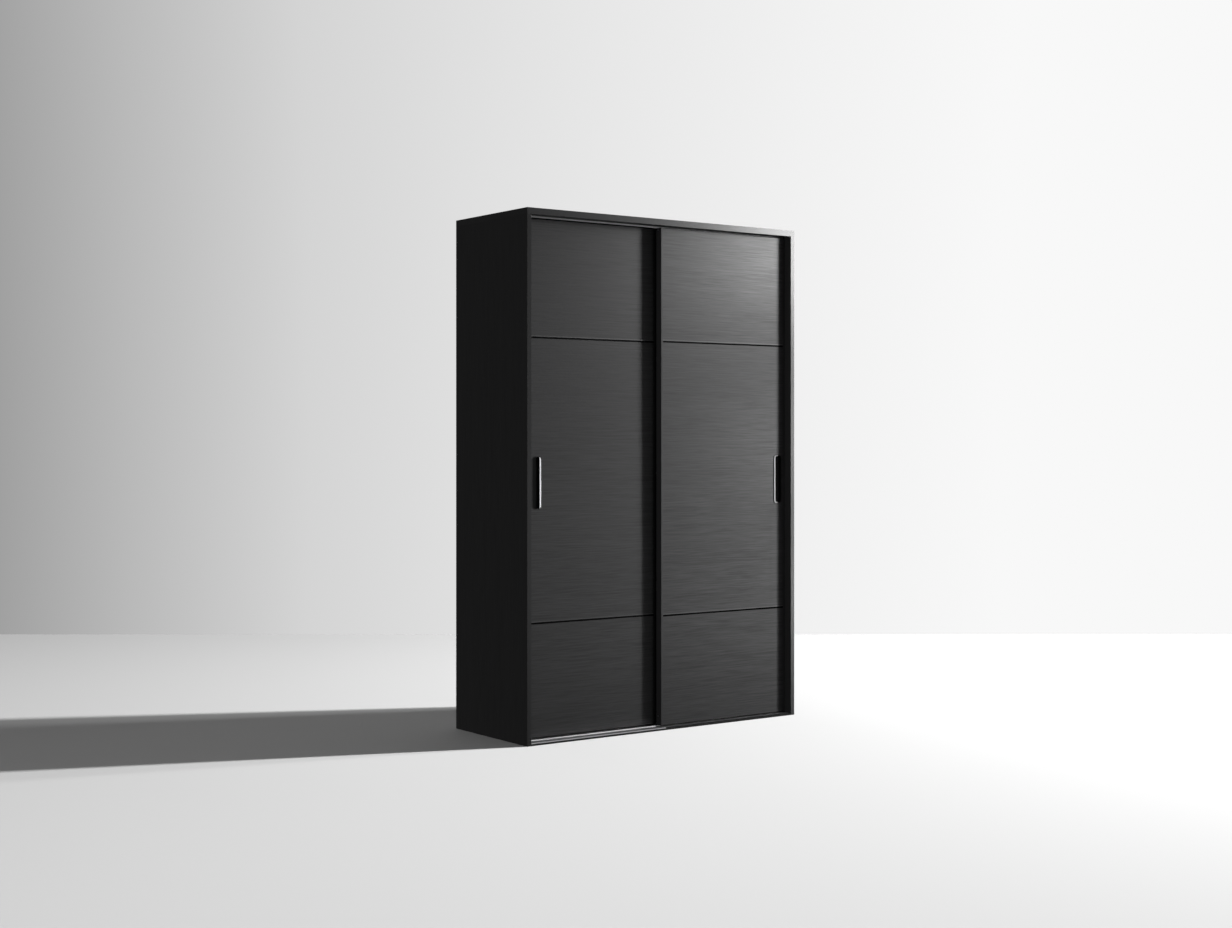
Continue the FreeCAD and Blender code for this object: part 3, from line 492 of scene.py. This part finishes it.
def softened(node: str, name: str, edge_mm: float, material: bpy.types.Material,
             rings: int = 2, band: bpy.types.Material | None = None) -> bpy.types.Object:
    """Copy a frame node's mesh and round its sharp edges, as a made edge is.

    Args:
        node: The frame node to copy.
        name: The new piece's name.
        edge_mm: Width of the rounding.
        material: The piece's finish.
        rings: Number of segments in the rounding.
        band: The finish of its front edge where it has one, or a lighter finish painted as a
            highlight.

    Returns:
        The new piece, in place and on its body.
    """
    source = frame["nodes"][node]
    mesh = source.data.copy()
    mesh.name = name
    piece = bpy.data.objects.new(name, mesh)
    bpy.context.scene.collection.objects.link(piece)
    dress(piece, material)
    if band is not None:
        mesh.materials.append(band)
    work = bmesh.new()
    work.from_mesh(mesh)
    bmesh.ops.remove_doubles(work, verts=work.verts, dist=WELD_DISTANCE)
    bmesh.ops.dissolve_limit(work, angle_limit=FLAT_ANGLE, verts=work.verts,
                             edges=work.edges)
    front = min(corner.co.y for corner in work.verts)
    for face in work.faces:
        face.smooth = True
        # the foremost front faces take the band: a real edge band on the side and top boards, a
        # lighter finish painted as a highlight on the bar beads and the head track's lip
        foremost = (face.calc_center_median().y < front + MM
                    and face.normal.y < FACING_FRONT)
        face.material_index = int(band is not None and foremost)
    work.to_mesh(mesh)
    work.free()
    round_edges(piece, edge_mm, rings)
    return carry(piece, node)


# ------------------------------------------------------------------ carcass
@dataclass
class Carcass:
    """The boards that stand still: sides, top, bottom, partition, plinth and back."""

    finishes: Finishes
    edge_mm: float = 0.9
    sheet_edge_mm: float = 0.4
    strip_edge_mm: float = 0.2

    def build(self) -> None:
        """Make and dress every board of the carcass."""
        finish = self.finishes
        for node, material in (
            ("left_side_panel", finish.side), ("right_side_panel", finish.side),
            ("top_panel", finish.top), ("bottom_panel", finish.inside),
            ("centre_partition", finish.upright_inside), ("front_sill", finish.plinth),
            ("plinth_front_rail", finish.plinth), ("plinth_rear_rail", finish.plinth),
            ("hat_shelf", finish.inside), ("lower_shelf", finish.inside),
            ("middle_shelf", finish.inside), ("upper_shelf", finish.inside),
        ):
            band = finish.band if material in (finish.side, finish.top) else None
            softened(node, node + "_board", self.edge_mm, material, band=band)
        for node in ("back_panel_left", "back_panel_right"):
            softened(node, node + "_sheet", self.sheet_edge_mm, finish.back)
        softened("back_joining_strip", "back_strip", self.strip_edge_mm, finish.strip)


@dataclass
class Tracks:
    """The lower and upper door tracks, and a black strip on the lower one's front lip, painted
    as the shade in front of the right door.
    """

    finishes: Finishes
    edge_mm: float = 0.35
    lip_mm: float = 3.0
    shade_strip_mm: float = 0.4
    shade_strip_depth_mm: float = 3.2

    def build(self) -> None:
        """Make and dress both tracks."""
        softened("bottom_track", "floor_track", self.edge_mm, self.finishes.track)
        # the head track's foremost lip takes the pale track metal as a painted highlight, and
        # the rest is near black as painted shade
        softened("top_track", "head_track", self.edge_mm, self.finishes.cross_frame_painted_shade,
                 band=self.finishes.track)
        # a black strip painted as shade in front of the right door
        self.paint_shade_strip()

    def paint_shade_strip(self) -> None:
        """Stick an angled black strip over the front lip, in front of the right door, as
        painted shade.
        """
        low, high = (Vector(corner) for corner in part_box("bottom_track"))
        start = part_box("right_door_left_stile")[0][0]
        thick, deep = self.shade_strip_mm * MM, self.shade_strip_depth_mm * MM
        front, lip_top = low.y - thick, low.z + self.lip_mm * MM + thick
        section = [(front, low.z), (front, lip_top), (low.y + deep, lip_top),
                   (low.y + deep, lip_top - thick), (low.y, lip_top - thick), (low.y, low.z)]
        ends = [[(x, y, z) for y, z in section] for x in (start, high.x)]
        around = range(len(section))
        faces = [tuple(reversed(around)), tuple(len(section) + at for at in around)]
        for at in around:
            after = (at + 1) % len(section)
            faces.append((at, after, len(section) + after, len(section) + at))
        strip = piece_from("floor_track_front_edging", ends[0] + ends[1], faces,
                           self.finishes.strip)
        round_edges(strip, self.shade_strip_mm / 4, rings=2)
        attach(strip, "carcass")


@dataclass
class Interior:
    """The hanging rail, its sockets and the shelf pins."""

    finishes: Finishes
    tube_edge_mm: float = 0.3
    socket_edge_mm: float = 0.8
    pin_edge_mm: float = 0.5

    def build(self) -> None:
        """Make and dress the rail, its sockets and the pins."""
        chrome = self.finishes.chrome
        softened("hanging_rail", "hanging_tube", self.tube_edge_mm, chrome)
        softened("hanging_rail_sockets", "hanging_tube_sockets", self.socket_edge_mm, chrome,
                 rings=3)
        softened("shelf_pins", "shelf_support_pins", self.pin_edge_mm, self.finishes.zinc)


@dataclass
class Fittings:
    """Screws, cams, dowels, wall brackets and soft stops."""

    finishes: Finishes
    screw_edge_mm: float = 0.35
    metal_edge_mm: float = 0.5
    soft_edge_mm: float = 0.6

    def build(self) -> None:
        """Make and dress the small fittings."""
        finish = self.finishes
        for node, name, edge, material in (
            ("board_screws", "track_and_bracket_screws", self.screw_edge_mm, finish.zinc),
            ("back_panel_screws", "back_screws", self.screw_edge_mm, finish.zinc),
            ("cam_fittings", "cam_discs", self.metal_edge_mm, finish.zinc),
            ("board_dowels", "beech_dowels", self.soft_edge_mm, finish.beech),
            ("wall_brackets", "wall_angles", self.metal_edge_mm, finish.zinc),
            ("door_bumpers", "soft_stops", self.soft_edge_mm, finish.rubber),
        ):
            softened(node, name, edge, material)


# ------------------------------------------------------------------ doors
class Side(Enum):
    """Which of the two doors."""

    LEFT = "left"
    RIGHT = "right"


@dataclass
class FlushPull:
    """A moulded cup let into the door, with a metal grip along one edge."""

    finishes: Finishes
    side: Side
    cup_edge_mm: float = 0.5
    grip_edge_mm: float = 1.3

    def build(self) -> None:
        """Make and dress the cup and the grip."""
        name = f"{self.side.value}_door"
        softened(f"{name}_handle_cup", f"{name}_pull_cup", self.cup_edge_mm,
                 self.finishes.cup, rings=3)
        softened(f"{name}_handle_grip", f"{name}_pull_grip", self.grip_edge_mm,
                 self.finishes.grip, rings=5)


@dataclass
class Door:
    """One sliding door: a slim frame, three faced panels, a pull and its running gear."""

    finishes: Finishes
    side: Side
    frame_edge_mm: float = 0.5
    panel_edge_mm: float = 0.5
    wheel_edge_mm: float = 0.4
    shoe_edge_mm: float = 0.5
    gear_edge_mm: float = 0.3

    def build(self) -> None:
        """Make and dress the whole door."""
        finish, name = self.finishes, f"{self.side.value}_door"
        for edge in ("left", "right"):
            softened(f"{name}_{edge}_stile", f"{name}_{edge}_upright", self.frame_edge_mm,
                     finish.frame, rings=3)
            softened(f"{name}_{edge}_wheel", f"{name}_{edge}_roller_wheel",
                     self.wheel_edge_mm, finish.nylon)
        # the divider bars' front faces take a lighter finish, a painted highlight, and the rest
        # of each bar is near black, a painted shade below it
        for rail, band in (("bottom_rail", None), ("top_rail", None),
                           ("lower_divider", finish.painted_highlight), ("upper_divider", finish.painted_highlight)):
            softened(f"{name}_{rail}", f"{name}_{rail}_bar", self.frame_edge_mm,
                     finish.cross_frame_painted_shade, rings=3, band=band)
        for level in ("lower", "middle", "upper"):
            softened(f"{name}_{level}_panel", f"{name}_{level}_face", self.panel_edge_mm,
                     finish.door)
        for node, gear, edge_mm, material in (
            ("roller_brackets", "roller_forks", self.gear_edge_mm, finish.zinc),
            ("roller_axles", "roller_pins", self.gear_edge_mm, finish.zinc),
            ("guide_shoes", "top_shoes", self.shoe_edge_mm, finish.shoe),
            ("frame_screws", "corner_screws", self.gear_edge_mm, finish.zinc),
        ):
            softened(f"{name}_{node}", f"{name}_{gear}", edge_mm, material)
        FlushPull(finish, self.side).build()


# ------------------------------------------------------------------ studio
@dataclass(frozen=True)
class Softbox:
    """A rectangular lamp: where it hangs, what it faces, its size in metres and its power."""

    name: str
    place: tuple[float, float, float]
    aim: tuple[float, float, float]
    size: tuple[float, float]
    watts: float


@dataclass(frozen=True)
class LightGroup:
    """Lamps that light only what they are meant for, as flags do in a studio."""

    name: str
    lamps: tuple[Softbox, ...]
    pieces: tuple[str, ...] = ()


KEY_AIM, KEY_SIZE = (0.3, -0.2, 1.3), (0.5, 0.5)
FLOOR_KEY_AIM, FLOOR_KEY_SIZE = (-0.5, 0.0, 0.3), (0.35, 0.35)
WIDE = (2.0, 2.0)

BOARD_LIGHTS = LightGroup("lit_wardrobe", (
    Softbox("low_near_key", (2.63, -2.84, 0.19), KEY_AIM, KEY_SIZE, 3.0),
    Softbox("mid_near_key", (1.95, -1.59, 1.2), KEY_AIM, KEY_SIZE, 7.2),
    Softbox("high_near_key", (1.94, -1.59, 2.2), KEY_AIM, KEY_SIZE, 22.0),
    Softbox("low_far_key", (4.81, -4.23, 0.1), KEY_AIM, KEY_SIZE, 58.0),
    Softbox("top_key", (1.4, -1.0, 2.4), KEY_AIM, KEY_SIZE, 7.0),
    Softbox("front_fill", (0.6, -5.6, 0.5), (0.0, 0.0, 0.3), (1.2, 0.8), 17.0)))
ALL_LIGHTS = LightGroup("lit_all", (
    Softbox("rear_fill", (1.5, 5.0, 2.6), (0.0, 0.2, 1.0), WIDE, 120.0),
    Softbox("right_fill", (5.0, 1.2, 2.4), (0.6, 0.0, 1.0), WIDE, 90.0),
    Softbox("overhead_fill", (0.3, 0.9, 5.5), (0.0, 0.3, 2.0), WIDE, 90.0)))
PIECE_LIGHTS = (
    LightGroup("lit_floor", (
        Softbox("far_floor_key", (10.18, -4.25, 8.62), FLOOR_KEY_AIM, FLOOR_KEY_SIZE, 3990.0),
        Softbox("near_floor_key", (6.76, -2.15, 5.54), FLOOR_KEY_AIM, FLOOR_KEY_SIZE, 320.0),
        Softbox("left_floor_pool", (-5.99, -0.61, 3.6), (-5.99, -0.6, 0.0), WIDE, 23.0),
        Softbox("front_floor_pool", (-3.15, -2.66, 3.6), (-3.15, -2.65, 0.0), WIDE, 25.0),
        Softbox("back_floor_pool", (0.07, 1.8, 3.6), (0.07, 1.81, 0.0), WIDE, 15.0)),
        ("studio_floor",)),
    LightGroup("lit_edges", (
        Softbox("edge_key", (3.6, -3.15, 2.06), (0.6, -0.27, 1.9), (0.4, 0.4), 31.0),),
        ("top_panel_board", "right_side_panel_board")),
    LightGroup("lit_from_left", (
        Softbox("left_fill", (-3.0, -1.2, 1.2), (0.66, -0.25, 1.1), (0.3, 2.0), 20.0),),
        ("right_side_panel_board", "right_door_left_upright")),
    LightGroup("lit_inside", (
        Softbox("inside_fill", (-0.4, -4.2, 1.5), (0.0, 0.0, 1.0), (1.0, 1.0), 45.0),),
        ("bottom_panel_board", "centre_partition_board", "hat_shelf_board",
         "lower_shelf_board", "middle_shelf_board", "upper_shelf_board",
         "back_panel_left_sheet", "back_panel_right_sheet", "back_strip", "hanging_tube",
         "hanging_tube_sockets", "shelf_support_pins", "wall_angles")),
    LightGroup("lit_floor_track", (
        Softbox("floor_track_key", (2.15, -3.8, 1.1), (-0.3, -0.25, 0.1), (0.6, 0.3), 55.0),),
        ("floor_track",)),
    LightGroup("lit_head_track", (
        Softbox("head_track_key", (2.15, -3.8, 1.9), (-0.3, -0.25, 2.0), (0.6, 0.3), 2.6),),
        ("head_track",)),
    LightGroup("lit_pulls", (
        Softbox("left_pull_key", (2.15, -3.8, 0.8), (-0.5, -0.25, 1.0), (0.4, 0.4), 12.0),
        Softbox("right_pull_key", (3.4, -3.5, 0.9), (0.6, -0.25, 1.0), (0.4, 0.4), 4.0)),
        ("left_door_pull_grip", "right_door_pull_grip")))
BARE_METAL = ("floor_track", "head_track", "left_door_pull_grip", "right_door_pull_grip")
BACKDROP = ((0.0, "#a0a0a0"), (0.1, "#b9b9b9"), (0.24, "#d4d4d4"), (0.37, "#dfdfdf"),
            (0.5, "#e8e8e8"), (0.66, "#f1f1f1"), (0.82, "#f8f8f8"), (1.0, "#f8f8f8"))


@dataclass
class Studio:
    """The floor, the backdrop, the lights and the camera, with lengths in metres."""

    view_turn: float = math.radians(35.823)
    eye: tuple[float, float, float] = (-4.4771, -6.1062, 1.2026)
    lens_mm: float = 52.2
    sensor_mm: float = 36.0
    frame_drop: float = -0.0214
    sight: float = 200.0
    floor_back: float = 3.35
    floor_front: float = 12.0
    floor_half: float = 14.0
    backdrop_half: float = 0.326
    air_strength: float = 0.103

    def build(self) -> None:
        """Set the whole stage."""
        bpy.context.scene.view_settings.view_transform = "Standard"
        self.camera()
        self.floor()
        self.air()
        self.lights()

    def along(self, forward: float, right: float, up: float) -> Vector:
        """Find a place by how it lies from the origin, as the camera sees it.

        Args:
            forward: Metres beyond the origin.
            right: Metres to its right.
            up: Metres above it.

        Returns:
            The place in the frame.
        """
        turn = self.view_turn
        ahead = Vector((math.sin(turn), math.cos(turn), 0))
        aside = Vector((math.cos(turn), -math.sin(turn), 0))
        return ahead * forward + aside * right + Vector((0, 0, up))

    def camera(self) -> None:
        """Place the camera level, with a small drop of its frame."""
        data = bpy.data.cameras.new("studio_camera")
        data.lens = self.lens_mm
        data.sensor_width = self.sensor_mm
        data.shift_y = self.frame_drop
        data.clip_end = self.sight
        camera = bpy.data.objects.new("studio_camera", data)
        camera.location = self.eye
        camera.rotation_euler = (math.pi / 2, 0, -self.view_turn)
        bpy.context.scene.collection.objects.link(camera)
        bpy.context.scene.camera = camera

    def floor(self) -> None:
        """Lay one plain pale floor, square to the camera."""
        corners = [(self.floor_back, -self.floor_half), (self.floor_back, self.floor_half),
                   (-self.floor_front, self.floor_half), (-self.floor_front, -self.floor_half)]
        mesh = bpy.data.meshes.new("studio_floor")
        mesh.from_pydata([self.along(a, b, 0) for a, b in corners], [], [(0, 1, 2, 3)])
        mesh.update()
        floor = bpy.data.objects.new("studio_floor", mesh)
        bpy.context.scene.collection.objects.link(floor)
        # matt paint without a sheen, so it takes light evenly
        material, _, shader = surface("studio_floor_paint", "#bcbcbc", 0.9)
        shader.inputs["Specular IOR Level"].default_value = 0.0
        dress(floor, material)
        floor.visible_diffuse = False
        floor.visible_glossy = False

    def air(self) -> None:
        """Set a pale backdrop for the eye, and a dim one for what the object reflects."""
        world = bpy.data.worlds.new("studio_air")
        world.use_nodes = True
        bpy.context.scene.world = world
        tree = world.node_tree
        tree.nodes.clear()
        place = add_node(tree, "TexCoord").outputs["Generated"]
        aside = self.along(0, 1, 0)
        reach = add_node(tree, "VectorMath", {"operation": "DOT_PRODUCT", 1: tuple(aside)},
                         {0: place})
        spot = add_node(tree, "MapRange", {"From Min": -self.backdrop_half,
                                           "From Max": self.backdrop_half},
                        {"Value": reach.outputs["Value"]})
        ramp = add_node(tree, "ValToRGB", {}, {"Fac": spot.outputs[0]})
        band = ramp.color_ramp
        band.elements[0].color = linear(BACKDROP[0][1])
        band.elements[1].color = linear(BACKDROP[-1][1])
        for position, shade in BACKDROP[1:-1]:
            band.elements.new(position).color = linear(shade)
        seen = add_node(tree, "Background", {"Strength": 1.0}, {"Color": ramp.outputs["Color"]})
        felt = add_node(tree, "Background", {"Color": linear("#ffffff"),
                                             "Strength": self.air_strength})
        path = add_node(tree, "LightPath")
        mix = add_node(tree, "MixShader", {}, {
            0: path.outputs["Is Camera Ray"], 1: felt.outputs[0], 2: seen.outputs[0]})
        add_node(tree, "OutputWorld", {}, {"Surface": mix.outputs[0]})

    def softbox(self, lamp: Softbox, reached: bpy.types.Collection) -> None:
        """Hang one softbox that lights only what its collection holds.

        Args:
            lamp: The softbox to hang.
            reached: The things that it lights.
        """
        data = bpy.data.lights.new(lamp.name, "AREA")
        data.shape = "RECTANGLE"
        data.size, data.size_y = lamp.size
        data.energy = lamp.watts
        hung = bpy.data.objects.new(lamp.name, data)
        hung.location = lamp.place
        aim = Vector(lamp.aim) - Vector(lamp.place)
        hung.rotation_euler = aim.to_track_quat("-Z", "Y").to_euler()
        hung.visible_camera = False
        hung.light_linking.receiver_collection = reached
        bpy.context.scene.collection.objects.link(hung)

    def lights(self) -> None:
        """Light the boards from the upper right, and the floor and the trim on their own."""
        pieces = tuple(thing.name for thing in bpy.data.objects
                       if thing.type == "MESH" and thing.name != "studio_floor")
        boards = tuple(name for name in pieces if name not in BARE_METAL)
        for group, names in ((BOARD_LIGHTS, boards), (ALL_LIGHTS, pieces),
                             *((group, group.pieces) for group in PIECE_LIGHTS)):
            reached = bpy.data.collections.new(group.name)
            for name in names:
                reached.objects.link(bpy.data.objects[name])
            for lamp in group.lamps:
                self.softbox(lamp, reached)
            LOG.info("%s: %d lamps on %d pieces", group.name, len(group.lamps), len(names))


def main() -> None:
    """Build the wardrobe and its stage in order."""
    logging.basicConfig(level=logging.INFO, format="%(name)s: %(message)s")
    finishes = Finishes()
    Carcass(finishes).build()
    Tracks(finishes).build()
    Interior(finishes).build()
    Fittings(finishes).build()
    for side in Side:
        Door(finishes, side).build()
    Studio().build()


if __name__ == "__main__":
    main()
